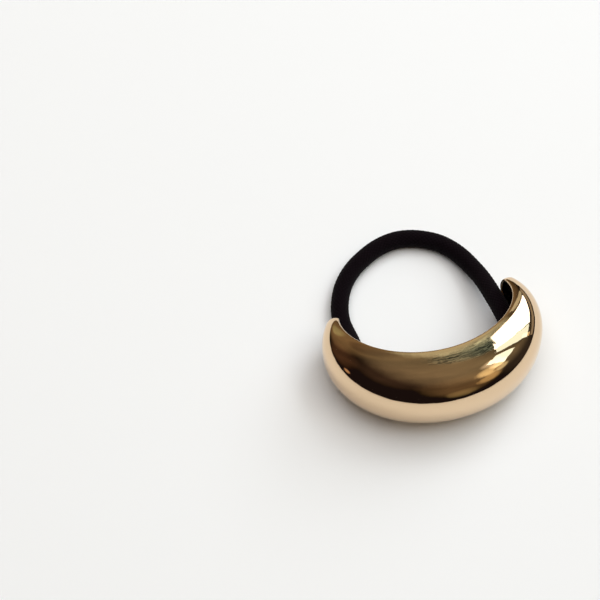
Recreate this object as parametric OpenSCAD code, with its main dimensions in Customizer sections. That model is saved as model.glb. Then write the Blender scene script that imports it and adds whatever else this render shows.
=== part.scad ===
// Ponytail cuff: a hollow cast dome, bent into a crescent, on a loop of elastic cord.
// It stands on its lower edge as it does on a table, with the cord's far side on the table.
// X runs across the cuff from tip to tip, the dome faces -Y, +Z is up. Millimetres.
// The origin is below the middle of the cuff, on the table.

/* [Cuff] */
// Half the width of the rim at its widest
rim_half_w = 23; // [22:0.1:25]
// Depth of the rim's curve from its widest place to its front
rim_depth = 16.9; // [15.5:0.1:18.5]
// How far the cuff wraps round from its middle to each tip, in degrees
wrap = 105; // [100:0.5:110]
// How far the dome stands out from the rim in the middle
dome_depth = 13.6; // [12.5:0.1:15]
// How far the dome stands out from the rim at each tip
tip_depth = 2.8; // [2:0.1:3]
// Height of the cuff in the middle
dome_h = 20.4; // [19:0.1:23]
// Height of the cuff at each tip
tip_h = 6.6; // [6:0.1:7.2]
// Thickness of the metal
wall = 0.8; // [0.6:0.05:0.95]
// How far the cuff leans towards its cord as it rests, in degrees
lean = 4.5; // [0:0.5:5]

/* [Elastic] */
// Thickness of the elastic cord
cord_d = 4.8; // [4.2:0.1:5.2]

/* [Posts] */
// Depth of the blind hole that holds each end of the cord
hole_depth = 5.5; // [4:0.5:5.5]
// Metal round the hole
post_wall = 0.6; // [0.4:0.1:0.8]
// Clearance round the cord in its hole and behind its end
cord_gap = 0.1; // [0.05:0.05:0.2]
// Clearance between the foot of a post and the dome
seat_gap = 0.1; // [0.05:0.05:0.3]

/* [Hidden] */

gold = [0.86, 0.70, 0.44];
dull_gold = [0.66, 0.54, 0.34];
black = [0.05, 0.05, 0.06];

// The dome's depth and height fall from the middle to the tips by these powers
depth_fall = 2.2;
depth_power = 1.3;
height_fall = 2.8;
height_power = 1;
// The dome's section is a superellipse, a little squarer than an ellipse
section_power = 2.4;
// Each tip is rounded off over the last part of the wrap
cap_start = 0.94;
cap_power = 2;

// Sections along the cuff, and steps round one section
stations = 72;
outer_n = 22;
inner_n = 16;
lip_n = 4;
section_n = outer_n + inner_n + 2 * lip_n;

// Route of the cord's middle line, from the left post round the loop to the right post
route = [
    [-20.3, -6, 10.5], [-20.3, 0, 10.2], [-20.3, 3.6, 9.4], [-20.2, 7, 7.9],
    [-20.2, 10.3, 6], [-20.2, 13.4, 4.3], [-20.4, 16.5, 3.1], [-20.6, 19.8, 2.6],
    [-20.2, 23.3, 2.5], [-19.1, 26.8, 2.5], [-17.5, 30.1, 2.5], [-15.4, 32.9, 2.5],
    [-12.8, 35.4, 2.5], [-9.7, 37.5, 2.5], [-6.3, 39.3, 2.5], [-2.6, 40.5, 2.5],
    [1.2, 40.9, 2.5], [5, 40.3, 2.5], [8.6, 38.9, 2.5], [11.7, 37, 2.5],
    [14.3, 34.3, 2.6], [16.4, 30.9, 2.9], [17.9, 27, 3.5], [19, 22.9, 4.5],
    [19.6, 18.9, 5.6], [19.9, 15.3, 6.7], [20.1, 12.2, 7.7], [20.2, 9.4, 8.5],
    [20.3, 6.6, 9.2], [20.3, 3.5, 9.8], [20.3, 0, 10.2], [20.3, -6, 10.5]
];
cord_sides = 12;

// A post's foot is square to the dome at this share of the wrap
post_at = 0.5;
// Steps each way over half the inner wall when the foot's place is looked for
wall_steps = 60;

// Length of the rim from the middle to a tip, and where the hollow ends before it
rim_steps = 40;
rim_length = path_length([for (i = [0:rim_steps]) rim_point(i / rim_steps)]);
hollow_end = 1 - wall / rim_length;

function unit(v) = v / norm(v);
function path_length(p) = len(p) < 2 ? 0 : sum([for (i = [1:len(p) - 1]) norm(p[i] - p[i - 1])]);
function sum(v, i = 0) = i == len(v) ? 0 : v[i] + sum(v, i + 1);
function fall(a, p, q) = pow(max(0, 1 - pow(a, p)), q);
function cap(a, end) =
    a < cap_start ? 1 : fall((a - cap_start) / (end - cap_start), cap_power, 1 / cap_power);

// The rim is part of an ellipse: t runs from -1 at the left tip to 1 at the right tip
function rim_point(t) = [rim_half_w * sin(t * wrap), -rim_depth * cos(t * wrap), 0];
function outward(t) = unit([rim_depth * sin(t * wrap), -rim_half_w * cos(t * wrap), 0]);
function depth(t) = tip_depth + (dome_depth - tip_depth) * fall(abs(t), depth_fall, depth_power);
function half_h(t) = (tip_h + (dome_h - tip_h) * fall(abs(t), height_fall, height_power)) / 2;

// A point of the dome: g runs from -90 at the lower edge over 0 at the crest to 90 at the upper edge
function dome_point(t, g, inset, end) =
    let (
        c = cap(abs(t), end),
        out = wall / 2 + (depth(t) - inset - wall / 2) * c * pow(cos(g), 2 / section_power),
        up = (half_h(t) - inset) * c * sign(g) * pow(abs(sin(g)), 2 / section_power)
    )
    rim_point(t) + out * outward(t) + [0, 0, up];
function outer_point(t, g) = dome_point(t, g, 0, 1);
function inner_point(t, g) = dome_point(t * hollow_end, g, wall, hollow_end);

// A point of the rounded edge between the outside and the inside
function lip_point(t, g, s) =
    let (a = outer_point(t, g), b = inner_point(t, g), turn = 180 * s)
    a + (b - a) * (1 - cos(turn)) / 2 - outward(t) * wall / 2 * sin(turn);

// One closed section: up the outside, over the upper edge, down the inside, round the lower edge
function section(t) = concat(
    [for (i = [0:outer_n]) outer_point(t, -90 + 180 * i / outer_n)],
    [for (i = [1:lip_n - 1]) lip_point(t, 90, i / lip_n)],
    [for (i = [0:inner_n]) inner_point(t, 90 - 180 * i / inner_n)],
    [for (i = [1:lip_n - 1]) lip_point(t, -90, 1 - i / lip_n)]
);

// Stations lie closer together towards the tips
raw_sections = [for (j = [0:stations]) section(sin(90 * (2 * j / stations - 1)))];
leaned = [for (s = raw_sections) [for (p = s) lean_back(p)]];
mid_y = (min([for (s = leaned) for (p = s) p.y]) + max([for (s = leaned) for (p = s) p.y])) / 2;
floor_z = min([for (s = leaned) for (p = s) p.z]);
function lean_back(p) =
    [p.x, p.y * cos(lean) + p.z * sin(lean), p.z * cos(lean) - p.y * sin(lean)];
function seat(p) = lean_back(p) - [0, mid_y, floor_z];

// At a tip the outside closes to one point, the inside to another, and both edges share their points
function tip_index(m) =
    m <= outer_n ? 0
    : m < outer_n + lip_n ? m
    : m <= outer_n + lip_n + inner_n ? outer_n + lip_n
    : outer_n + section_n - m;
function shell_index(j, m) = j * section_n + (j == 0 || j == stations ? tip_index(m) : m);

function distinct(f) = f[0] != f[1] && f[1] != f[2] && f[2] != f[0];

module cuff_shell() {
    faces = [
        for (j = [0:stations - 1], m = [0:section_n - 1])
            let (
                next = (m + 1) % section_n,
                a = shell_index(j, m),
                b = shell_index(j + 1, m),
                c = shell_index(j + 1, next),
                d = shell_index(j, next)
            )
            for (f = [[a, c, b], [a, d, c]]) if (distinct(f)) f
    ];
    color(gold)
        polyhedron([for (s = raw_sections) for (p = s) seat(p)], faces, convexity = 8);
}

// Direction of the cord at each end, out of its post
function end_direction(side) =
    let (last = len(route) - 1)
    unit(side < 0 ? route[1] - route[0] : route[last - 1] - route[last]);
function cord_end(side) = side < 0 ? route[0] : route[len(route) - 1];

// Each post stands on the inside of the dome, on a flat foot that just clears the curved wall
post_r = cord_d / 2 + cord_gap + post_wall;
function off_axis(p, side) = norm(cross(p - cord_end(side), end_direction(side)));
function behind_end(p, side) = (p - cord_end(side)) * end_direction(side) < 0;
function under_post(side) = [
    for (i = [1:wall_steps - 1], k = [1:wall_steps - 1])
        let (p = seat(inner_point(side * i / wall_steps, -90 + 180 * k / wall_steps)))
        if (behind_end(p, side) && off_axis(p, side) < post_r + wall) p
];

// Turns +Z to a direction
module aim(v) {
    rotate([0, acos(v.z / norm(v)), atan2(v.y, v.x)]) children();
}

module post(side) {
    square_to = lean_back(outward(side * post_at));
    foot_at = min([for (p = under_post(side)) p * square_to]) - seat_gap;
    reach = 2 * dome_depth;
    color(dull_gold)
        difference() {
            translate(cord_end(side)) aim(end_direction(side))
                difference() {
                    translate([0, 0, -reach])
                        cylinder(h = reach + hole_depth, r = post_r, $fn = 64);
                    translate([0, 0, -cord_gap])
                        cylinder(h = reach + hole_depth, r = cord_d / 2 + cord_gap, $fn = 64);
                }
            translate(cord_end(side)) aim(square_to)
                translate([-reach, -reach, foot_at - cord_end(side) * square_to])
                    cube([2 * reach, 2 * reach, 2 * reach]);
        }
}

module cord_post_left() {
    post(-1);
}

module cord_post_right() {
    post(1);
}

// Rings of the cord stand square to its route, on the route's own points
function along(i) =
    unit(route[min(i + 1, len(route) - 1)] - route[max(i - 1, 0)]);
function cord_ring(i) =
    let (t = along(i), side = unit(cross(t, [0, 0, 1])), up = cross(side, t))
    [
        for (k = [0:cord_sides - 1])
            route[i] + cord_d / 2 * (cos(360 * k / cord_sides) * side + sin(360 * k / cord_sides) * up)
    ];

module elastic_cord() {
    rings = len(route);
    walls = [
        for (i = [0:rings - 2], k = [0:cord_sides - 1])
            let (next = (k + 1) % cord_sides)
            [
                i * cord_sides + k, i * cord_sides + next,
                (i + 1) * cord_sides + next, (i + 1) * cord_sides + k
            ]
    ];
    start = [for (k = [cord_sides - 1:-1:0]) k];
    finish = [for (k = [0:cord_sides - 1]) (rings - 1) * cord_sides + k];
    color(black)
        polyhedron(
            [for (i = [0:rings - 1]) for (p = cord_ring(i)) p],
            concat(walls, [start, finish]),
            convexity = 6
        );
}

cuff_shell();
cord_post_left();
cord_post_right();
elastic_cord();
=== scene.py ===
"""Ponytail cuff: a polished hollow dome with a grained inside, on a loop of braided elastic cord.

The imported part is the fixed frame. Every piece is worked out with numpy in metres, in that frame,
and stands where the part's own solids are.
"""

import math

import bpy
import numpy as np
from bpy.props import FloatProperty, FloatVectorProperty, IntProperty, PointerProperty
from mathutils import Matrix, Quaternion, Vector


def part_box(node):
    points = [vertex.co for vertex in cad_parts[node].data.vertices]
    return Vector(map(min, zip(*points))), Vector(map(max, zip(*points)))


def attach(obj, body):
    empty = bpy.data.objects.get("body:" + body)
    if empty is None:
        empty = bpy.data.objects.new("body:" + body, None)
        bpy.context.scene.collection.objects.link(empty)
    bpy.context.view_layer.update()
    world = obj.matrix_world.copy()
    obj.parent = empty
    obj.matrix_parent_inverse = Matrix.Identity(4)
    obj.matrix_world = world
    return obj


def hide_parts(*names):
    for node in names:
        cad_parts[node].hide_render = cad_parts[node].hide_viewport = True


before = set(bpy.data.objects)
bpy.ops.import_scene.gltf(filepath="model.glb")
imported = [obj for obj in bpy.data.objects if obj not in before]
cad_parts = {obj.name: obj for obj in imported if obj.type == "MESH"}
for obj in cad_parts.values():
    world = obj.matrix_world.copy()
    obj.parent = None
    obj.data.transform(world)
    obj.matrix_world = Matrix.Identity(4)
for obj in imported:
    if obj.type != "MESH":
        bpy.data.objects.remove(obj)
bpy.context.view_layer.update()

bl_info = {
    "name": "Ponytail cuff",
    "version": (1, 0, 0),
    "blender": (4, 5, 0),
    "location": "3D Viewport > Sidebar > Cuff",
    "description": "Builds a domed metal ponytail cuff on a braided elastic cord",
    "category": "Add Mesh",
}

MM = 0.001
BODY = "root"

# The cord's middle line, from the left post round the loop to the right post, in metres
ROUTE = [
    (-0.0203, -0.006, 0.0105), (-0.0203, 0, 0.0102), (-0.0203, 0.0036, 0.0094),
    (-0.0202, 0.007, 0.0079), (-0.0202, 0.0103, 0.006), (-0.0202, 0.0134, 0.0043),
    (-0.0204, 0.0165, 0.0031), (-0.0206, 0.0198, 0.0026), (-0.0202, 0.0233, 0.0025),
    (-0.0191, 0.0268, 0.0025), (-0.0175, 0.0301, 0.0025), (-0.0154, 0.0329, 0.0025),
    (-0.0128, 0.0354, 0.0025), (-0.0097, 0.0375, 0.0025), (-0.0063, 0.0393, 0.0025),
    (-0.0026, 0.0405, 0.0025), (0.0012, 0.0409, 0.0025), (0.005, 0.0403, 0.0025),
    (0.0086, 0.0389, 0.0025), (0.0117, 0.037, 0.0025), (0.0143, 0.0343, 0.0026),
    (0.0164, 0.0309, 0.0029), (0.0179, 0.027, 0.0035), (0.019, 0.0229, 0.0045),
    (0.0196, 0.0189, 0.0056), (0.0199, 0.0153, 0.0067), (0.0201, 0.0122, 0.0077),
    (0.0202, 0.0094, 0.0085), (0.0203, 0.0066, 0.0092), (0.0203, 0.0035, 0.0098),
    (0.0203, 0, 0.0102), (0.0203, -0.006, 0.0105),
]

# The photograph's view: the point of the floor that the camera looks at, how far down and how far
# round it looks, its distance, and its lens and sensor in millimetres
VIEW_TARGET = (-0.02922, 0.03085, 0.0)
VIEW_ELEVATION = math.radians(60.5)
VIEW_TURN = math.radians(-14.9)
VIEW_DISTANCE = 0.4885
VIEW_LENS = 108.4
VIEW_SENSOR = 36


# ---- Sizes and colours


class CuffSizes(bpy.types.PropertyGroup):
    """Sizes of the dome, the cord and the posts"""

    rim_half_width: FloatProperty(
        name="Rim half width", description="Half the width of the rim at its widest",
        default=23 * MM, unit="LENGTH", precision=5)
    rim_depth: FloatProperty(
        name="Rim depth", description="Depth of the rim's curve from its widest place to its front",
        default=16.9 * MM, unit="LENGTH", precision=5)
    wrap: FloatProperty(
        name="Wrap", description="How far the cuff wraps round from its middle to each tip",
        default=math.radians(105), subtype="ANGLE")
    dome_depth: FloatProperty(
        name="Dome depth", description="How far the dome stands out from the rim in the middle",
        default=13.6 * MM, unit="LENGTH", precision=5)
    tip_depth: FloatProperty(
        name="Tip depth", description="How far the dome stands out from the rim at each tip",
        default=2.8 * MM, unit="LENGTH", precision=5)
    dome_height: FloatProperty(
        name="Dome height", description="Height of the cuff in the middle",
        default=20.4 * MM, unit="LENGTH", precision=5)
    tip_height: FloatProperty(
        name="Tip height", description="Height of the cuff at each tip",
        default=6.6 * MM, unit="LENGTH", precision=5)
    wall: FloatProperty(
        name="Wall", description="Thickness of the metal",
        default=0.8 * MM, unit="LENGTH", precision=5)
    lean: FloatProperty(
        name="Lean", description="How far the cuff leans towards its cord as it rests",
        default=math.radians(4.5), subtype="ANGLE")
    cord_diameter: FloatProperty(
        name="Cord thickness", description="Thickness of the elastic cord",
        default=4.8 * MM, unit="LENGTH", precision=5)
    braid_height: FloatProperty(
        name="Braid height", description="How far each strand of the braid stands above its edges",
        default=0.13 * MM, unit="LENGTH", precision=5)
    braid_strands: IntProperty(
        name="Braid strands", description="Strands of the braid that run each way round the cord",
        default=16, min=8, max=32)
    post_wall: FloatProperty(
        name="Post wall", description="Metal round the hole of a post",
        default=0.6 * MM, unit="LENGTH", precision=5)
    hole_depth: FloatProperty(
        name="Hole depth", description="Depth of the hole that holds an end of the cord",
        default=5.5 * MM, unit="LENGTH", precision=5)
    gap: FloatProperty(
        name="Clearance", description="Clearance round the cord in its hole, and under a post",
        default=0.1 * MM, unit="LENGTH", precision=5)
    grain_pitch: FloatProperty(
        name="Grain pitch", description="Distance between the grains on the inner face",
        default=1.05 * MM, unit="LENGTH", precision=5)
    grain_radius: FloatProperty(
        name="Grain radius", description="Radius of the largest grains",
        default=0.46 * MM, unit="LENGTH", precision=5)


class CuffColours(bpy.types.PropertyGroup):
    """Colours of the metal, the cord and the floor"""

    gold: FloatVectorProperty(
        name="Gold plate", description="Colour of the polished gold plate",
        default=(0.76, 0.57, 0.375), size=3, subtype="COLOR", min=0, max=1)
    cord: FloatVectorProperty(
        name="Cord", description="Colour of the braided cover",
        default=(0.0048, 0.0026, 0.0042), size=3, subtype="COLOR", min=0, max=1)
    floor: FloatVectorProperty(
        name="Floor", description="Colour of the floor",
        default=(0.88, 0.9, 0.93), size=3, subtype="COLOR", min=0, max=1)


# ---- The dome's shape

# The dome's depth and height fall from the middle to the tips by these powers
DEPTH_FALL = 2.2
DEPTH_POWER = 1.3
HEIGHT_FALL = 2.8
HEIGHT_POWER = 1
# The dome's section is a superellipse, a little squarer than an ellipse
SECTION_POWER = 2.4
# Each tip is rounded off over the last part of the wrap
CAP_START = 0.94
CAP_POWER = 2
# Each post stands square to the dome at this share of the wrap
POST_AT = 0.5
# Steps along half the rim when its length is measured
RIM_STEPS = 40
# Steps along and round the dome when its box is measured
BOX_STEPS = (240, 120)


def fall(a, p, q):
    """One in the middle and nought at the end: (1 - a to the p) to the q."""
    return np.clip(1 - a**p, 0, None) ** q


def unit(v):
    """Directions of the given vectors."""
    return v / np.linalg.norm(v, axis=-1, keepdims=True)


def rim_and_outward(s, t):
    """Points of the rim, an arc of an ellipse, and the level directions square to it."""
    turn = t * s.wrap
    rim = np.stack([s.rim_half_width * np.sin(turn), -s.rim_depth * np.cos(turn), 0 * turn], -1)
    out = np.stack([s.rim_depth * np.sin(turn), -s.rim_half_width * np.cos(turn), 0 * turn], -1)
    return rim, unit(out)


def hollow_end(s):
    """Share of the wrap at which the hollow ends: one wall before the tip, along the rim."""
    rim, _ = rim_and_outward(s, np.linspace(0, 1, RIM_STEPS + 1))
    return 1 - s.wall / np.linalg.norm(np.diff(rim, axis=0), axis=1).sum()


def dome_point(s, t, g, inset, end):
    """A point of the dome: half a superellipse stands out from the rim at t, and g turns round it
    from the lower edge over the crest to the upper edge. Depth and height shrink towards the tips
    and close there in a superellipse cap."""
    a = np.abs(t)
    cap = fall(np.clip((a - CAP_START) / (end - CAP_START), 0, 1), CAP_POWER, 1 / CAP_POWER)
    rim, out = rim_and_outward(s, t)
    depth = s.tip_depth + (s.dome_depth - s.tip_depth) * fall(a, DEPTH_FALL, DEPTH_POWER)
    height = s.tip_height + (s.dome_height - s.tip_height) * fall(a, HEIGHT_FALL, HEIGHT_POWER)
    bulge = s.wall / 2 + (depth - inset - s.wall / 2) * cap * np.cos(g) ** (2 / SECTION_POWER)
    rise = (height / 2 - inset) * cap * np.sign(g) * np.abs(np.sin(g)) ** (2 / SECTION_POWER)
    point = rim + bulge[..., None] * out
    point[..., 2] += rise
    return point


def outer_point(s, t, g):
    """A point of the polished outside."""
    return dome_point(s, t, g, 0, 1)


def inner_point(s, t, g):
    """A point of the inside, a wall's thickness in from the outside."""
    end = hollow_end(s)
    return dome_point(s, t * end, g, s.wall, end)


def lip_point(s, t, g, share):
    """The rounded edge: half a circle from the outer surface to the inner one at the edge g."""
    a, b = outer_point(s, t, g), inner_point(s, t, g)
    turn = np.pi * share
    _, out = rim_and_outward(s, t)
    across = ((1 - np.cos(turn)) / 2)[..., None]
    return a + (b - a) * across - out * (s.wall / 2 * np.sin(turn))[..., None]


def lean_back(s, p):
    """Points of the upright cuff turned about X, as it leans on the floor towards its cord."""
    x, y, z = p[..., 0], p[..., 1], p[..., 2]
    c, d = math.cos(s.lean), math.sin(s.lean)
    return np.stack([x, y * c + z * d, z * c - y * d], -1)


def seat_shift(s):
    """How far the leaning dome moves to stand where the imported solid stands."""
    t, g = np.meshgrid(np.linspace(-1, 1, BOX_STEPS[0] + 1),
                       np.linspace(-np.pi / 2, np.pi / 2, BOX_STEPS[1] + 1))
    p = lean_back(s, outer_point(s, t, g)).reshape(-1, 3)
    low, high = (np.array(c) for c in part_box("cuff_shell"))
    middle = (low[1] + high[1] - p[:, 1].min() - p[:, 1].max()) / 2
    return np.array([0, middle, low[2] - p[:, 2].min()])


# ---- Meshes


def new_piece(name, points, triangles, material, uv=None):
    """A smooth mesh of triangles that rides on the cuff's one body. uv holds a place for each
    corner of each triangle."""
    mesh = bpy.data.meshes.new(name)
    mesh.vertices.add(len(points))
    mesh.vertices.foreach_set("co", np.asarray(points, np.float32).ravel())
    mesh.loops.add(triangles.size)
    mesh.loops.foreach_set("vertex_index", triangles.astype(np.int32).ravel())
    mesh.polygons.add(len(triangles))
    mesh.polygons.foreach_set("loop_start", np.arange(0, triangles.size, 3, dtype=np.int32))
    mesh.polygons.foreach_set("use_smooth", np.ones(len(triangles), bool))
    if uv is not None:
        layer = mesh.uv_layers.new(name="Along and round")
        layer.data.foreach_set("uv", np.asarray(uv, np.float32).ravel())
    mesh.update(calc_edges=True)
    mesh.materials.append(material)
    piece = bpy.data.objects.new(name, mesh)
    bpy.context.scene.collection.objects.link(piece)
    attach(piece, BODY)
    return piece


def used_only(points, triangles, marks):
    """Drops faces with a doubled corner, with their marks, and the points that no face uses."""
    a, b, c = triangles.T
    whole = (a != b) & (b != c) & (c != a)
    used, triangles = np.unique(triangles[whole], return_inverse=True)
    return points[used], triangles.reshape(-1, 3), marks[whole]


def grid_triangles(rows, columns, index=None):
    """Two triangles for each cell of a grid that closes round its columns. index gives the number
    of the point in a row and a column, where they aren't simply counted row by row."""
    index = index or (lambda i, k: i * columns + k)
    i, k = np.meshgrid(np.arange(rows - 1), np.arange(columns), indexing="ij")
    after = (k + 1) % columns
    a, b, c, d = index(i, k), index(i + 1, k), index(i + 1, after), index(i, after)
    return np.concatenate([np.stack([a, b, c], -1), np.stack([a, c, d], -1)]).reshape(-1, 3)


def fan(pole, ring, flip=False):
    """Triangles from one point to each two neighbours of a closed ring of points."""
    after = np.roll(ring, -1)
    pair = (after, ring) if flip else (ring, after)
    return np.stack([np.full(len(ring), pole), *pair], -1)


# Share of its size that a tip's section keeps where the stations start to follow the tip's rounding
SHRUNK_TO = 0.7


def dome_mesh(s, half_stations, cap_stations, outer_n, inner_n, lip_n):
    """The whole shell as one closed surface: sections up the outside, over the upper edge, down the
    inside and round the lower edge. The last stations stand where the section has shrunk by even
    steps. At a tip the outside closes to one point and the inside to another, and both edges share
    their points. The faces of the inside come back marked."""
    shrunk = np.linspace(SHRUNK_TO, 0, cap_stations)
    cap = CAP_START + (1 - CAP_START) * (1 - shrunk**CAP_POWER) ** (1 / CAP_POWER)
    half = np.concatenate([np.linspace(0, cap[0], half_stations), cap[1:]])
    t = np.concatenate([-half[:0:-1], half])[:, None]
    up = np.linspace(-np.pi / 2, np.pi / 2, outer_n + 1)[None]
    down = np.linspace(np.pi / 2, -np.pi / 2, inner_n + 1)[None]
    step = (np.arange(1, lip_n) / lip_n)[None]
    t_up, up = np.broadcast_arrays(t, up)
    t_down, down = np.broadcast_arrays(t, down)
    t_lip, step = np.broadcast_arrays(t, step)
    upper = np.full(step.shape, np.pi / 2)
    points = np.concatenate([
        outer_point(s, t_up, up),
        lip_point(s, t_lip, upper, step),
        inner_point(s, t_down, down),
        lip_point(s, t_lip, -upper, 1 - step),
    ], 1)
    rows, n = points.shape[:2]
    first_inner = outer_n + lip_n
    last_inner = first_inner + inner_n
    k = np.arange(n)
    tip = np.where(k <= outer_n, 0, np.where(k < first_inner, k, np.where(
        k <= last_inner, first_inner, outer_n + n - k)))

    def index(i, k):
        return i * n + np.where((i == 0) | (i == rows - 1), tip[k], k)

    column = np.tile(k, 2 * (rows - 1))
    inside = (column >= first_inner) & (column < last_inner)
    return points.reshape(-1, 3), grid_triangles(rows, n, index), inside


# Steps between two points of the route before it is cut into even steps
STRETCH_STEPS = 24


def smooth_route(points, count):
    """A curve through the given points, each stretch a cubic whose end slopes come from the
    neighbouring points, cut into even steps along its length."""
    p = np.array(points)
    p = np.concatenate([[2 * p[0] - p[1]], p, [2 * p[-1] - p[-2]]])
    u = np.linspace(0, 1, STRETCH_STEPS, endpoint=False)[None, :, None]
    a, b, c, d = (p[k:len(p) - 3 + k, None] for k in range(4))
    slope = (c - a) / 2
    bend = a - 2.5 * b + 2 * c - d / 2
    twist = (3 * (b - c) + d - a) / 2
    curve = b + slope * u + bend * u**2 + twist * u**3
    curve = np.concatenate([curve.reshape(-1, 3), p[-2:-1]])
    along = np.concatenate([[0], np.cumsum(np.linalg.norm(np.diff(curve, axis=0), axis=1))])
    at = np.linspace(0, along[-1], count)
    return np.stack([np.interp(at, along, curve[:, k]) for k in range(3)], -1), at


def square_to(way):
    """Two directions square to each given one and to each other, the first of them level."""
    level = unit(np.cross(way, [0, 0, 1]))
    return level, np.cross(level, way)


def cord_end(side):
    """The left or right end of the cord, and the direction in which the cord leaves it."""
    end, after = (ROUTE[0], ROUTE[1]) if side < 0 else (ROUTE[-1], ROUTE[-2])
    return np.array(end), unit(np.array(after) - end)


# Length of a diamond of the braid over its width
BRAID_SLOPE = 1.35
# Powers of a strand's bulge across its own width, and along it to where the next one covers it
BULGE_ACROSS = 0.9
BULGE_ALONG = 0.45


def braid_relief(s, along, turn):
    """Height of a braid, from 0 between its strands to 1 on them. Two families of strands wind
    round the cord in opposite ways; in each diamond where two cross, one of them lies on top, by
    turns. Its height is the sine of its place across its width times that along its length, each
    to a power of its own."""
    cells_round = s.braid_strands * turn / (2 * math.pi)
    cells_along = along / (math.pi * s.cord_diameter / s.braid_strands * BRAID_SLOPE)
    a, b = cells_round + cells_along, cells_round - cells_along
    across_a, across_b = np.sin(np.pi * (a % 1)), np.sin(np.pi * (b % 1))
    on_top = (np.floor(a) + np.floor(b)) % 2 == 0
    return np.where(on_top, across_a**BULGE_ACROSS * across_b**BULGE_ALONG,
                    across_b**BULGE_ACROSS * across_a**BULGE_ALONG)


# ---- Materials


class Tree:
    """Short calls that add nodes to one node tree and link them."""

    def __init__(self, tree):
        self.tree = tree

    def add(self, kind, links=None, **values):
        """A node with its properties, and with a link or a constant for each named input."""
        node = self.tree.nodes.new(kind)
        for key, value in values.items():
            setattr(node, key, value)
        for key, source in (links or {}).items():
            if isinstance(source, bpy.types.NodeSocket):
                self.tree.links.new(source, node.inputs[key])
            else:
                node.inputs[key].default_value = source
        return node

    def ramp(self, source, stops):
        """A colour that runs between two stops, each a place and a colour."""
        node = self.add("ShaderNodeValToRGB", {"Fac": source})
        for stop, (place, colour) in zip(node.color_ramp.elements, stops):
            stop.position = place
            stop.color = (*colour, 1)
        return node.outputs["Color"]


def new_group(name, inputs, outputs):
    """A shader node group with named float inputs and outputs of the given kinds."""
    group = bpy.data.node_groups.new(name, "ShaderNodeTree")
    for label, value in inputs:
        socket = group.interface.new_socket(label, in_out="INPUT", socket_type="NodeSocketFloat")
        socket.default_value = value
    for label, kind in outputs:
        group.interface.new_socket(label, in_out="OUTPUT", socket_type=kind)
    tree = Tree(group)
    return group, tree, tree.add("NodeGroupInput"), tree.add("NodeGroupOutput")


def new_material(name, values):
    """A material with its node tree and its shader, some of whose inputs are given values."""
    material = bpy.data.materials.new(name)
    material.use_nodes = True
    shader = material.node_tree.nodes["Principled BSDF"]
    for label, value in values.items():
        shader.inputs[label].default_value = value
    return material, Tree(material.node_tree), shader


# How much roughness a full mark adds, and how deep a scratch is against the waviness
MARK_ROUGHNESS = 0.05
SCRATCH_HEIGHT = -0.02


def handling_marks():
    """Fine wiping scratches and faint smudges on metal, on Object coordinates. Roughness grows in
    the marks, and Height holds the scratches and a slow waviness of the casting under the plate."""
    if "Handling marks" in bpy.data.node_groups:
        return bpy.data.node_groups["Handling marks"]
    group, tree, given, out = new_group(
        "Handling marks",
        [("Base roughness", 0.05), ("Mark strength", 0.5), ("Waviness", 0.5)],
        [("Roughness", "NodeSocketFloat"), ("Height", "NodeSocketFloat")],
    )
    place = tree.add("ShaderNodeTexCoord").outputs["Object"]
    stretched = tree.add("ShaderNodeMapping", {"Vector": place, "Rotation": (0.3, 0.5, 0.9),
                                               "Scale": (2500, 160, 900)})
    scratch = tree.add("ShaderNodeTexNoise", {"Vector": stretched.outputs[0], "Scale": 1.0,
                                              "Detail": 3.0, "Roughness": 0.7})
    fine = tree.add("ShaderNodeMapRange", {"Value": scratch.outputs["Fac"], "From Min": 0.62,
                                           "From Max": 0.78})
    smudge = tree.add("ShaderNodeTexNoise", {"Vector": place, "Scale": 130.0, "Detail": 5.0,
                                             "Roughness": 0.55})
    patch = tree.add("ShaderNodeMapRange", {"Value": smudge.outputs["Fac"], "From Min": 0.42,
                                            "From Max": 0.72})
    marks = tree.add("ShaderNodeMath", {0: fine.outputs[0], 1: patch.outputs[0]}, operation="ADD")
    wear_and_shade = tree.add("ShaderNodeMath", {0: marks.outputs[0], 1: given.outputs["Mark strength"]},
                    operation="MULTIPLY")
    rough = tree.add("ShaderNodeMath", {0: wear_and_shade.outputs[0], 1: MARK_ROUGHNESS,
                                        2: given.outputs["Base roughness"]},
                     operation="MULTIPLY_ADD")
    wave = tree.add("ShaderNodeTexNoise", {"Vector": place, "Scale": 260.0, "Detail": 2.0,
                                           "Roughness": 0.5})
    wavy = tree.add("ShaderNodeMath", {0: wave.outputs["Fac"], 1: given.outputs["Waviness"]},
                    operation="MULTIPLY")
    height = tree.add("ShaderNodeMath", {0: fine.outputs[0], 1: SCRATCH_HEIGHT, 2: wavy.outputs[0]},
                      operation="MULTIPLY_ADD")
    tree.tree.links.new(rough.outputs[0], out.inputs["Roughness"])
    tree.tree.links.new(height.outputs[0], out.inputs["Height"])
    return group


# Between these two places along Y the hollow is painted darker towards its tips, down to a share
# of its own colour: painted shade where the cord and the dome keep the tips' insides in shadow
TIP_SHADE_FROM = 9 * MM
TIP_SHADE_AT = 14 * MM
TIP_SHADE_SHARE = 0.08


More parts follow.
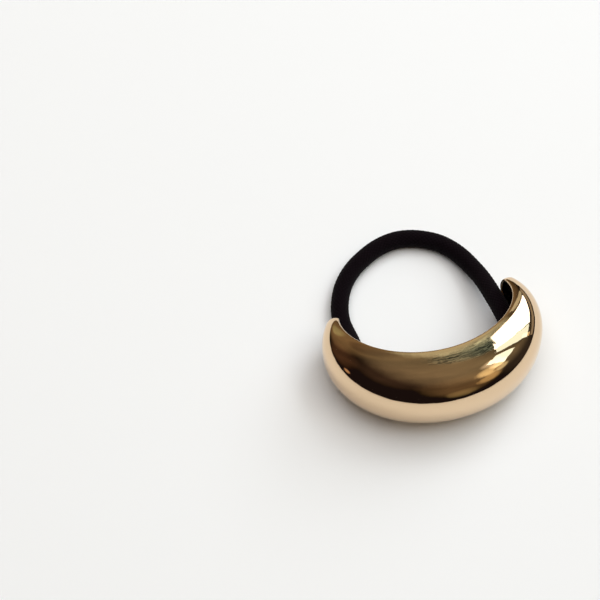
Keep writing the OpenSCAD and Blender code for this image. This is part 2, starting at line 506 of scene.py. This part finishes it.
def metal(name, colour, dark, roughness, marks, waviness, bump, painted_tip_shade=False):
    """Gold plate: a mirror metal whose colour drifts down to a darker share of itself, with
    handling marks and a little waviness. Its tips may get painted shade, darker towards them."""
    material, tree, shader = new_material(name, {"Metallic": 1.0, "Specular IOR Level": 0.5})
    place = tree.add("ShaderNodeTexCoord").outputs["Object"]
    drift = tree.add("ShaderNodeTexNoise", {"Vector": place, "Scale": 90.0, "Detail": 4.0,
                                            "Roughness": 0.6})
    tint = tree.ramp(drift.outputs["Fac"], [(0.3, [c * dark for c in colour]), (0.62, colour)])
    wear_and_shade = tree.add("ShaderNodeGroup", {"Base roughness": roughness, "Mark strength": marks,
                                        "Waviness": waviness}, node_tree=handling_marks())
    raised = tree.add("ShaderNodeBump", {"Height": wear_and_shade.outputs["Height"], "Strength": bump,
                                         "Distance": 0.0001})
    # Painted shade: the colour falls towards the tips, where the hollow lies in shadow behind the
    # cord
    if painted_tip_shade:
        spot = tree.add("ShaderNodeSeparateXYZ", {"Vector": place})
        tip_shade = tree.add("ShaderNodeMapRange", {"Value": spot.outputs["Y"], "From Min": TIP_SHADE_FROM,
                                              "From Max": TIP_SHADE_AT, "To Min": 1.0,
                                              "To Max": TIP_SHADE_SHARE},
                       interpolation_type="SMOOTHSTEP")
        tint = tree.add("ShaderNodeVectorMath", {0: tint, 1: tip_shade.outputs[0]},
                        operation="MULTIPLY").outputs[0]
    link = material.node_tree.links.new
    link(tint, shader.inputs["Base Color"])
    link(wear_and_shade.outputs["Roughness"], shader.inputs["Roughness"])
    link(raised.outputs["Normal"], shader.inputs["Normal"])
    return material


def braid_cloth(colour):
    """Matte black braid: yarns are paler on their crowns and darker in the dips between them,
    painted light and shade on the braid's relief, with fine fibres and dull sheen. It follows the
    cord by its own UV map, U along and V round, both in centimetres."""
    material, tree, shader = new_material("Black braid", {
        "Specular IOR Level": 0.06, "Sheen Weight": 0.03, "Sheen Roughness": 0.5})
    crown = tree.add("ShaderNodeAttribute", attribute_name="braid_crown").outputs["Fac"]
    uv = tree.add("ShaderNodeUVMap", uv_map="Along and round").outputs["UV"]
    fibre_place = tree.add("ShaderNodeMapping", {"Vector": uv, "Rotation": (0, 0, 0.6),
                                                 "Scale": (18, 90, 1)})
    fibre = tree.add("ShaderNodeTexNoise", {"Vector": fibre_place.outputs[0], "Scale": 1.0,
                                            "Detail": 4.0, "Roughness": 0.65})
    lint = tree.add("ShaderNodeTexNoise", {"Vector": uv, "Scale": 7.0, "Detail": 3.0})
    # Painted light and shade: paler on the braid's crowns, darker in the dips between strands,
    # times the fibre tone
    shade = tree.add("ShaderNodeMath", {0: crown, 1: fibre.outputs["Fac"]}, operation="MULTIPLY")
    wear_and_shade = tree.add("ShaderNodeMath", {0: lint.outputs["Fac"], 1: 0.35, 2: shade.outputs[0]},
                    operation="MULTIPLY_ADD")
    tint = tree.ramp(wear_and_shade.outputs[0], [(0.15, [c * 0.45 for c in colour]),
                                       (0.85, [c * 1.5 for c in colour])])
    rough = tree.add("ShaderNodeMapRange", {"Value": fibre.outputs["Fac"], "To Min": 0.82,
                                            "To Max": 0.98})
    raised = tree.add("ShaderNodeBump", {"Height": fibre.outputs["Fac"], "Strength": 0.6,
                                         "Distance": 0.00006})
    link = material.node_tree.links.new
    link(tint, shader.inputs["Base Color"])
    link(rough.outputs[0], shader.inputs["Roughness"])
    link(raised.outputs["Normal"], shader.inputs["Normal"])
    return material


def paper(colour):
    """Plain pale floor with a faint mottle."""
    material, tree, shader = new_material(
        "Pale floor", {"Roughness": 0.9, "Specular IOR Level": 0.2})
    place = tree.add("ShaderNodeTexCoord").outputs["Object"]
    mottle = tree.add("ShaderNodeTexNoise", {"Vector": place, "Scale": 4.0, "Detail": 2.0})
    tint = tree.ramp(mottle.outputs["Fac"], [(0.3, [c * 0.995 for c in colour]), (0.7, colour)])
    material.node_tree.links.new(tint, shader.inputs["Base Color"])
    return material


# ---- Operators


class CUFF_OT_camera(bpy.types.Operator):
    """Place the camera where the photograph was taken"""

    bl_idname = "cuff.camera"
    bl_label = "Camera"

    def execute(self, context):
        level = math.cos(VIEW_ELEVATION)
        back = Vector((math.sin(VIEW_TURN) * level, -math.cos(VIEW_TURN) * level,
                       math.sin(VIEW_ELEVATION)))
        data = bpy.data.cameras.new("View")
        data.lens = VIEW_LENS
        data.sensor_width = VIEW_SENSOR
        data.clip_start = 0.01
        data.clip_end = 50
        camera = bpy.data.objects.new("View", data)
        camera.location = Vector(VIEW_TARGET) + back * VIEW_DISTANCE
        camera.rotation_euler = (-back).to_track_quat("-Z", "Y").to_euler()
        context.scene.collection.objects.link(camera)
        context.scene.camera = camera
        return {"FINISHED"}


# The braid flattens over this length before each end of the cord
FLAT_END = 3 * MM
# Share of the braid's height at which the plain cord's surface lies
MEAN_CROWN = 0.75
# The cord's UV map is in centimetres
CM_PER_M = 100


class CUFF_OT_elastic(bpy.types.Operator):
    """Add the braided elastic cord along its route"""

    bl_idname = "cuff.elastic"
    bl_label = "Elastic cord"

    rings: IntProperty(name="Rings", description="Rings along the cord", default=760)
    sides: IntProperty(name="Sides", description="Points round the cord", default=96)

    def execute(self, context):
        s = context.scene.cuff_sizes
        line, along = smooth_route(ROUTE, self.rings)
        level, up = square_to(unit(np.gradient(line, axis=0)))
        turn = np.linspace(0, 2 * np.pi, self.sides, endpoint=False)
        crown = braid_relief(s, along[:, None], turn[None])
        taper = np.clip(np.minimum(along, along[-1] - along) / FLAT_END, 0, 1)[:, None]
        radius = s.cord_diameter / 2 + s.braid_height * (crown - MEAN_CROWN) * taper
        outwards = (np.cos(turn)[None, :, None] * level[:, None]
                    + np.sin(turn)[None, :, None] * up[:, None])
        points = (line[:, None] + radius[..., None] * outwards).reshape(-1, 3)
        n = self.sides
        triangles = grid_triangles(self.rings, n)
        i, k = np.meshgrid(np.arange(self.rings - 1), np.arange(n), indexing="ij")
        a, b, c, d = (i, k), (i + 1, k), (i + 1, k + 1), (i, k + 1)
        girth = math.pi * s.cord_diameter

        def corner(p):
            return np.stack([along[p[0]] * CM_PER_M, p[1] / n * girth * CM_PER_M], -1)

        uv = np.concatenate([
            np.stack([corner(a), corner(b), corner(c)], -2),
            np.stack([corner(a), corner(c), corner(d)], -2),
        ]).reshape(-1, 3, 2)
        first, last = np.arange(n), (self.rings - 1) * n + np.arange(n)
        triangles = np.concatenate([
            triangles, fan(len(points), first), fan(len(points) + 1, last, flip=True)])
        points = np.concatenate([points, line[[0, -1]]])
        uv = np.concatenate([uv, np.zeros((2 * n, 3, 2))])
        colours = context.scene.cuff_colours
        cord = new_piece("elastic_braid", points, triangles, braid_cloth(list(colours.cord)), uv)
        layer = cord.data.attributes.new("braid_crown", "FLOAT", "POINT")
        layer.data.foreach_set("value", np.append(crown.ravel(), [0, 0]).astype(np.float32))
        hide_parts("elastic_cord")
        return {"FINISHED"}


# The inside's rough cast metal is painted darker, to this share of the plate's colour, as shade for
# the hollow, and the satin posts have this share of it
SHADED_INSIDE_SHARE = 0.16
SATIN_SHARE = 0.93


class CUFF_OT_dome(bpy.types.Operator):
    """Add the polished dome with its rounded edge and its inner face"""

    bl_idname = "cuff.dome"
    bl_label = "Dome"

    def execute(self, context):
        s = context.scene.cuff_sizes
        points, triangles, inside = dome_mesh(
            s, half_stations=150, cap_stations=30, outer_n=84, inner_n=48, lip_n=8)
        points, triangles, inside = used_only(
            lean_back(s, points) + seat_shift(s), triangles, inside)
        gold = list(context.scene.cuff_colours.gold)
        finish = metal("Polished gold plate", gold, dark=0.985, roughness=0.035, marks=0.9,
                       waviness=0.8, bump=0.4)
        dome = new_piece("polished_dome", points, triangles, finish)
        # The inside is painted darker as shade for the hollow, and painted shade darkens it further
        # towards the tips
        dome.data.materials.append(metal(
            "Cast gold inside with painted shade", [c * SHADED_INSIDE_SHARE for c in gold], dark=0.6, roughness=0.3,
            marks=2.0, waviness=1.5, bump=0.6, painted_tip_shade=True))
        dome.data.polygons.foreach_set("material_index", inside.astype(np.int32))
        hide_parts("cuff_shell")
        return {"FINISHED"}


# Each grain is a low mound: degrees up its side at which its rings lie, the first of them sunk in
# the wall, how far below the wall its base lies as a share of its height, and points in a ring
MOUND_RINGS = (-25, 8, 38, 66)
SUNK = 0.43
MOUND_SIDES = 8
# Ranges of a grain's radius against the largest, with a power that favours the larger ones, of its
# height against its radius, and of its length against its width
RADIUS_RANGE = (0.55, 1.0)
RADIUS_POWER = 0.8
HEIGHT_RANGE = (0.6, 0.8)
STRETCH_RANGE = (0.85, 1.2)
# Rows lie this share of a pitch apart, and their grains keep this far from the edges
ROW_SHARE = 0.87
EDGE_MARGIN = 0.6 * MM
# The largest random shift of a grain either way, in pitches
JITTER = 0.28
# The last grains before the ends of the hollow, as a share of its half
LAST_GRAIN = 0.985
# Steps along and round the hollow when it is measured for the rows
ALONG_STEPS = 400
ROUND_STEPS = 120
# Step by which a place is moved to find the slope of the wall there
NUDGE = 1e-4


class CUFF_OT_grains(bpy.types.Operator):
    """Add the raised cast grains all over the inner face"""

    bl_idname = "cuff.grains"
    bl_label = "Inner grains"

    seed: IntProperty(name="Seed", description="Order of the random draws", default=7)

    def execute(self, context):
        s = context.scene.cuff_sizes
        rng = np.random.default_rng(self.seed)
        t, g = self.spots(s, rng)
        shift = seat_shift(s)

        def place(tt, gg):
            return lean_back(s, inner_point(s, tt, gg)) + shift

        spot = place(t, g)
        along = unit(place(t + NUDGE, g) - place(t - NUDGE, g))
        across = place(t, g + NUDGE) - place(t, g - NUDGE)
        normal = unit(np.cross(across, along))
        side = np.cross(normal, along)
        sides = MOUND_SIDES
        turn = np.linspace(0, 2 * np.pi, sides, endpoint=False)
        size = s.grain_radius * rng.uniform(*RADIUS_RANGE, len(t)) ** RADIUS_POWER
        height = size * rng.uniform(*HEIGHT_RANGE, len(t))
        stretch = rng.uniform(*STRETCH_RANGE, len(t))
        rings = np.radians(MOUND_RINGS)
        ring_r = np.cos(rings)[None, :, None] * size[:, None, None]
        ring_z = np.sin(rings)[None, :, None] * height[:, None, None]
        points = (
            spot[:, None, None]
            + (ring_r * np.cos(turn) * stretch[:, None, None])[..., None] * along[:, None, None]
            + (ring_r * np.sin(turn) / stretch[:, None, None])[..., None] * side[:, None, None]
            + (ring_z + 0 * turn)[..., None] * normal[:, None, None]
        )
        count, rows = len(t), len(rings)
        poles = np.stack([spot - normal * (height * SUNK)[:, None],
                          spot + normal * height[:, None]], 1)
        block = rows * sides + 2
        points = np.concatenate([points.reshape(count, -1, 3), poles], 1).reshape(-1, 3)
        ring = np.arange(sides)
        one = np.concatenate([
            grid_triangles(rows, sides)[:, ::-1],
            fan(rows * sides, ring, flip=True),
            fan(rows * sides + 1, (rows - 1) * sides + ring),
        ])
        triangles = (one[None] + (np.arange(count) * block)[:, None, None]).reshape(-1, 3)
        gold = list(context.scene.cuff_colours.gold)
        # The grains get the same painted shade towards the tips
        finish = metal("Cast gold grain", gold, dark=0.9, roughness=0.12, marks=1.0,
                       waviness=0.5, bump=0.3, painted_tip_shade=True)
        grains = new_piece("inner_grains", points, triangles, finish)
        return {"FINISHED"}

    def spots(self, s, rng):
        """Places of the grains: staggered rows across the inner face, the grains of a row a pitch
        apart, each grain shifted at random, away from the edge and from the feet of the posts."""
        share = np.linspace(-1, 1, ALONG_STEPS + 1)
        middle, _ = rim_and_outward(s, share)
        crest = inner_point(s, share, np.zeros_like(share))
        length = np.linalg.norm(np.diff((middle + crest) / 2, axis=0), axis=1)
        along = np.concatenate([[0], np.cumsum(length)])
        rows = int(along[-1] / (s.grain_pitch * ROW_SHARE))
        row_t = np.interp((np.arange(rows) + 0.5) / rows * along[-1], along, share)
        fine = np.linspace(-np.pi / 2, np.pi / 2, ROUND_STEPS + 1)
        section = inner_point(s, *np.broadcast_arrays(row_t[:, None], fine))
        arc = np.concatenate([np.zeros((rows, 1)), np.cumsum(
            np.linalg.norm(np.diff(section, axis=1), axis=2), axis=1)], 1)
        t, g = [], []
        for row in range(rows):
            room = arc[row, -1] - 2 * EDGE_MARGIN
            count = int(room / s.grain_pitch)
            if count < 1:
                continue
            offset = 0.25 if row % 2 else 0.75
            even = EDGE_MARGIN + (np.arange(count) + offset) / count * room
            even = even + rng.uniform(-JITTER, JITTER, count) * s.grain_pitch
            g.append(np.interp(even, arc[row], fine))
            spread = s.grain_pitch / along[-1] * 2
            t.append(row_t[row] + rng.uniform(-JITTER, JITTER, count) * spread)
        t, g = np.clip(np.concatenate(t), -LAST_GRAIN, LAST_GRAIN), np.concatenate(g)
        spot = lean_back(s, inner_point(s, t, g)) + seat_shift(s)
        free = np.ones(len(t), bool)
        reach = s.cord_diameter / 2 + s.gap + s.post_wall + s.grain_radius
        for end, way in (cord_end(-1), cord_end(1)):
            off = np.linalg.norm(np.cross(spot - end, way), axis=1)
            free &= (off > reach) | ((spot - end) @ way > 0)
        return t[free], g[free]


# Radius of the rounding of a post's mouth, and of the flared bead of solder round its foot
MOUTH_RADIUS = 0.22 * MM
BEAD_RADIUS = 0.75 * MM
# Where the wall is searched for the foot of a post: shares of the wrap, radians either way round
# the section, and places each way
FOOT_SPAN = (0.02, 0.98)
FOOT_TURN = 1.5
FOOT_STEPS = 120


class CUFF_OT_posts(bpy.types.Operator):
    """Add the two posts that hold the cord's ends, each soldered to the dome"""

    bl_idname = "cuff.posts"
    bl_label = "Cord posts"

    def execute(self, context):
        s = context.scene.cuff_sizes
        gold = list(context.scene.cuff_colours.gold)
        finish = metal("Satin gold post", [c * SATIN_SHARE for c in gold], dark=0.9,
                       roughness=0.22, marks=1.0, waviness=0.8, bump=0.35)
        for name, node, side in (("left_post", "cord_post_left", -1),
                                 ("right_post", "cord_post_right", 1)):
            points, triangles = self.shape(s, side)
            post = new_piece(name, points, triangles, finish)
            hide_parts(node)
        return {"FINISHED"}

    def shape(self, s, side):
        """A turned post: rings about its axis from the middle of the foot, over a flared bead of
        solder, up the outside, round the mouth and down the hole to the middle of its floor. The
        foot's rings lie on a plane square to the dome."""
        end, way = cord_end(side)
        hole = s.cord_diameter / 2 + s.gap
        outer = hole + s.post_wall
        _, out = rim_and_outward(s, np.array([side * POST_AT]))
        square = lean_back(s, out)[0]
        t, g = np.meshgrid(side * np.linspace(*FOOT_SPAN, FOOT_STEPS),
                           np.linspace(-FOOT_TURN, FOOT_TURN, FOOT_STEPS))
        wall = lean_back(s, inner_point(s, t, g)).reshape(-1, 3) + seat_shift(s)
        off = np.linalg.norm(np.cross(wall - end, way), axis=1)
        near = (off < outer + s.wall) & ((wall - end) @ way < 0)
        foot = (wall[near] @ square).min() - s.gap
        sides = 96
        turn = np.linspace(0, 2 * np.pi, sides, endpoint=False)
        level, up = square_to(way)
        outwards = np.cos(turn)[:, None] * level + np.sin(turn)[:, None] * up

        def foot_height(radius):
            return (foot - (end + radius * outwards) @ square) / (way @ square)

        mouth, bead, top = MOUTH_RADIUS, BEAD_RADIUS, s.hole_depth
        low = foot_height(outer)
        quarter = np.radians(np.linspace(0, 90, 6))
        # Each row is a radius and its heights along the post: the foot, the bead, the outside
        rows = [(r, foot_height(r)) for r in (outer * 0.3, outer * 0.7, outer + bead)]
        rows += [(outer + bead * (1 - math.sin(a)), low + bead * (1 - math.cos(a)))
                 for a in quarter[1:]]
        rows += [(outer, low + bead + share * (top - mouth - low - bead))
                 for share in (0.15, 0.4, 0.7, 1)]
        # and then, at one height all round, the mouth, the hole and its floor
        level_rows = [(outer - mouth * (1 - math.cos(a)), top - mouth * (1 - math.sin(a)))
                      for a in quarter[1:]]
        level_rows += [(hole + mouth * (1 - math.sin(a)), top - mouth * (1 - math.cos(a)))
                       for a in quarter]
        level_rows += [(hole, height) for height in np.linspace(top - 2 * mouth, -s.gap, 5)]
        level_rows += [(hole * share, -s.gap) for share in (0.66, 0.33)]
        rows += [(r, np.full(sides, height)) for r, height in level_rows]
        points = np.concatenate([end + r * outwards + h[:, None] * way for r, h in rows])
        ring = np.arange(sides)
        triangles = np.concatenate([
            grid_triangles(len(rows), sides),
            fan(len(points), ring),
            fan(len(points) + 1, (len(rows) - 1) * sides + ring, flip=True),
        ])
        poles = [end + foot_height(0)[0] * way, end - s.gap * way]
        return np.concatenate([points, poles]), triangles


# Upright lights that the dome mirrors, each in a wall a metre away: name, degrees round from +Y to
# the wall, metres along the wall, lower and upper edge and width in metres, turn in the wall in
# degrees, radiance, colour
PANELS = (
    ("Window", 77, -0.49, 0.33, 1.87, 0.78, -5, 3.2, (0.95, 0.98, 1.0)),
    ("Window, right pane", 77, 0.045, 0.41, 1.84, 0.27, -6, 1.6, (0.79, 0.95, 0.97)),
    ("Window jamb", 32, 0, 0.20, 0.70, 0.1, -6, 0.5, (1.0, 0.97, 0.74)),
    ("Window corner", 87.5, 0, 0.30, 0.70, 0.07, -6, 0.85, (1.0, 0.76, 0.46)),
    ("Window sill", 62, 0, 0.09, 0.24, 1.1, -3, 0.32, (1.0, 0.86, 0.65)),
    ("Side window", 105, 0, 0.90, 1.82, 0.36, -5, 1.7, (0.8, 0.97, 1.0)),
)
# Patches of light in the room: degrees round from +Y and up, half angles at which it is full and
# gone, colour. Where a colour is negative, the patch takes light away.
PATCHES = (
    (70, 62, 10, 55, (0.22, 0.18, 0.115)),
    (-5, 26, 4, 42, (0.22, 0.15, 0.08)),
    (-58, 26, 5, 32, (0.07, 0.037, 0.022)),
    (-9, 15, 3, 13, (0.16, 0.19, 0.1)),
    (-2, 46, 5, 15, (-0.1, -0.075, -0.04)),
    (24, 49, 5, 13, (0.27, 0.3, 0.23)),
    (41, 60, 6, 13, (-0.03, 0.02, 0.04)),
    (129, 47, 5, 12, (0.75, 0.6, 0.33)),
    (140, 31, 4, 11, (0.42, 0.3, 0.14)),
    (123.5, 36, 3, 7, (0.55, 0.5, 0.33)),
    (117, 48, 4, 8, (0.7, 0.64, 0.5)),
    (111, 58, 3, 8, (0.6, 0.52, 0.42)),
    (126, 41, 1.5, 5, (-0.5, -0.42, -0.25)),
    (158, 42, 6, 34, (0.13, 0.085, 0.045)),
    (165, 20, 2, 14, (0.14, 0.11, 0.055)),
    (108, 18, 10, 30, (0.035, 0.027, 0.022)),
    (-90, 13, 1, 6, (0.5, 0.3, 0.17)),
    (-110, 75, 10, 42, (0.045, 0.028, 0.02)),
    (60, 42, 21, 31, (-0.1, -0.08, -0.05)),
)
# Where the room is finely speckled, as a patch without a colour
SPECKLED = (41, 60, 7, 14)
# The room is nowhere darker than this
NEAR_BLACK = (0.012, 0.008, 0.009)
# The light overhead: its place and side in metres, its radiance and its colour
TOP_PLACE = (0.15, 0.18, 1.2)
TOP_SIDE = 1.6
TOP_RADIANCE = 1.85
TOP_COLOUR = (1.0, 0.985, 0.965)
# Half the side of the floor, in metres
FLOOR_HALF = 4.0


class CUFF_OT_stage(bpy.types.Operator):
    """Add the pale floor, the soft lights and the dim room that the metal mirrors"""

    bl_idname = "cuff.stage"
    bl_label = "Stage"

    def execute(self, context):
        mesh = bpy.data.meshes.new("floor")
        corners = ((-1, -1), (1, -1), (1, 1), (-1, 1))
        mesh.from_pydata([(x * FLOOR_HALF, y * FLOOR_HALF, 0) for x, y in corners], [],
                         [(0, 1, 2, 3)])
        mesh.materials.append(paper(list(context.scene.cuff_colours.floor)))
        floor = bpy.data.objects.new("floor", mesh)
        context.scene.collection.objects.link(floor)
        self.room(context.scene)
        for light in PANELS:
            self.panel(*light)
        self.top_light()
        context.scene.view_settings.view_transform = "Standard"
        return {"FINISHED"}

    def panel(self, name, round_deg, along, low, high, width, roll_deg, radiance, colour):
        """An upright rectangle of light in a wall a metre from the cuff, between two heights. It is
        turned a little in the wall, and its power gives it the stated radiance."""
        turn = math.radians(round_deg)
        light = self.area_light(name, (width, high - low), radiance, colour)
        light.location = (math.sin(turn) + along * math.cos(turn),
                          math.cos(turn) - along * math.sin(turn), (low + high) / 2)
        upright = Vector((math.sin(turn), math.cos(turn), 0)).to_track_quat("Z", "Y")
        light.rotation_euler = (upright @ Quaternion((0, 0, 1), math.radians(roll_deg))).to_euler()

    def top_light(self):
        """A soft light overhead that lights the floor and isn't mirrored."""
        light = self.area_light("Top light", (TOP_SIDE, TOP_SIDE), TOP_RADIANCE, TOP_COLOUR)
        light.location = TOP_PLACE
        light.visible_glossy = False

    def area_light(self, name, size, radiance, colour):
        """A rectangular light whose power gives it the stated radiance."""
        data = bpy.data.lights.new(name, "AREA")
        data.shape = "RECTANGLE"
        data.size, data.size_y = size
        data.energy = radiance * math.pi * size[0] * size[1]
        data.color = colour
        light = bpy.data.objects.new(name, data)
        bpy.context.scene.collection.objects.link(light)
        return light

    def room(self, scene):
        """A dim warm room: soft round patches of light on near black, added up and mottled."""
        world = bpy.data.worlds.new("Dim room")
        world.use_nodes = True
        scene.world = world
        tree = Tree(world.node_tree)
        way = tree.add("ShaderNodeTexCoord").outputs["Generated"]
        total = (0, 0, 0)
        for *patch, colour in PATCHES:
            mask = self.near(tree, way, patch)
            total = tree.add("ShaderNodeVectorMath", {0: mask, 1: colour, 2: total},
                             operation="MULTIPLY_ADD").outputs[0]
        clutter = tree.add("ShaderNodeTexNoise", {"Vector": way, "Scale": 3.0, "Detail": 3.0,
                                                  "Roughness": 0.5})
        mottle = tree.add("ShaderNodeMapRange", {"Value": clutter.outputs["Fac"], "From Min": 0.3,
                                                 "From Max": 0.7, "To Min": 0.8, "To Max": 1.2})
        speckle = tree.add("ShaderNodeTexNoise", {"Vector": way, "Scale": 34.0, "Detail": 3.0,
                                                  "Roughness": 0.6})
        speck = tree.add("ShaderNodeMapRange", {"Value": speckle.outputs["Fac"], "From Min": 0.38,
                                                "From Max": 0.66, "To Min": 0.3, "To Max": 2.4})
        specked = tree.add("ShaderNodeMix", {"Factor": self.near(tree, way, SPECKLED), 2: 1.0,
                                             3: speck.outputs[0]})
        uneven = tree.add("ShaderNodeMath", {0: mottle.outputs[0], 1: specked.outputs[0]},
                          operation="MULTIPLY")
        mottled = tree.add("ShaderNodeVectorMath", {0: total, 1: uneven.outputs[0]},
                           operation="MULTIPLY")
        light = tree.add("ShaderNodeVectorMath", {0: mottled.outputs[0], 1: NEAR_BLACK},
                         operation="MAXIMUM")
        background = world.node_tree.nodes["Background"]
        world.node_tree.links.new(light.outputs[0], background.inputs["Color"])

    def near(self, tree, way, patch):
        """A mask that is one within the full half angle of a patch's middle and fades to nought."""
        turn, rise, full, gone = (math.radians(angle) for angle in patch)
        middle = (math.sin(turn) * math.cos(rise), math.cos(turn) * math.cos(rise), math.sin(rise))
        dot = tree.add("ShaderNodeVectorMath", {0: way, 1: middle}, operation="DOT_PRODUCT")
        return tree.add("ShaderNodeMapRange", {
            "Value": dot.outputs["Value"], "From Min": math.cos(gone), "From Max": math.cos(full),
        }, interpolation_type="SMOOTHSTEP").outputs[0]


class CUFF_PT_sidebar(bpy.types.Panel):
    """Sizes, colours and the steps that build the cuff"""

    bl_label = "Ponytail cuff"
    bl_space_type = "VIEW_3D"
    bl_region_type = "UI"
    bl_category = "Cuff"

    def draw(self, context):
        for group in (context.scene.cuff_sizes, context.scene.cuff_colours):
            column = self.layout.column(align=True)
            for name in group.__annotations__:
                column.prop(group, name)
        for step in STEPS:
            self.layout.operator(step.bl_idname)


STEPS = (CUFF_OT_camera, CUFF_OT_elastic, CUFF_OT_dome, CUFF_OT_grains, CUFF_OT_posts,
         CUFF_OT_stage)
CLASSES = (CuffSizes, CuffColours, *STEPS, CUFF_PT_sidebar)


def register():
    for cls in CLASSES:
        bpy.utils.register_class(cls)
    bpy.types.Scene.cuff_sizes = PointerProperty(type=CuffSizes)
    bpy.types.Scene.cuff_colours = PointerProperty(type=CuffColours)


def unregister():
    del bpy.types.Scene.cuff_colours
    del bpy.types.Scene.cuff_sizes
    for cls in reversed(CLASSES):
        bpy.utils.unregister_class(cls)


def main():
    register()
    bpy.ops.cuff.camera()
    bpy.ops.cuff.elastic()
    bpy.ops.cuff.dome()
    bpy.ops.cuff.grains()
    bpy.ops.cuff.posts()
    bpy.ops.cuff.stage()


if __name__ == "__main__":
    main()
